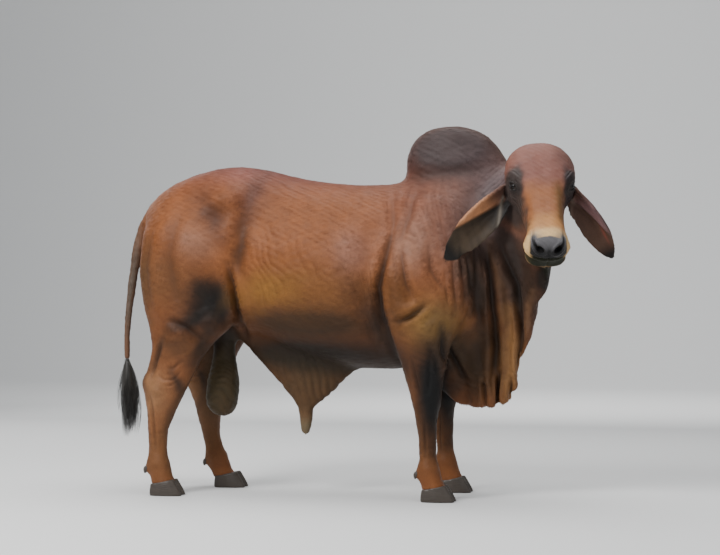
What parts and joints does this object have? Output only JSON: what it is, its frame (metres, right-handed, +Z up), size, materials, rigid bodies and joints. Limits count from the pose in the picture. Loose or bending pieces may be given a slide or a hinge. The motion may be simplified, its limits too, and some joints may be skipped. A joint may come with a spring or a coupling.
{
  "type": "brahman bull",
  "caption": "Life-size still model of a red Brahman bull standing with its head turned to its right, with hump, dewlap, drooping ears and tail switch.",
  "frame": {"origin": "on the floor, under the middle of the whole model's box", "axes": "+X forwards along the body, +Y to the animal's left, +Z up; the head is turned to the right, towards -Y"},
  "size_m": [2.3062, 0.9124, 1.6678],
  "materials": {
    "red_hide": "short, close red-brown coat, darker on neck and hump",
    "dark_hide": "thin, dark brown skin with short hair",
    "tail_hair": "long black hair",
    "horn": "dark horn, faintly ringed",
    "eye": "wet dark brown"
  },
  "bodies": {
    "root": {"barrel": "red_hide", "chest": "red_hide", "claw_fore_left_inner": "horn", "claw_fore_left_outer": "horn", "claw_fore_right_inner": "horn", "claw_fore_right_outer": "horn", "claw_hind_left_inner": "horn", "claw_hind_left_outer": "horn", "claw_hind_right_inner": "horn", "claw_hind_right_outer": "horn", "dewlap": "dark_hide", "ear_left": "dark_hide", "ear_right": "dark_hide", "eye_left": "eye", "eye_right": "eye", "foreleg_lower_left": "red_hide", "foreleg_lower_right": "red_hide", "foreleg_upper_left": "red_hide", "foreleg_upper_right": "red_hide", "head": "red_hide", "hindleg_lower_left": "red_hide", "hindleg_lower_right": "red_hide", "hump": "red_hide", "neck": "red_hide", "rump": "red_hide", "scrotum": "dark_hide", "sheath": "dark_hide", "tail_lower": "red_hide", "tail_switch": "tail_hair", "tail_upper": "red_hide", "thigh_left": "red_hide", "thigh_right": "red_hide"}
  },
  "joints": []
}
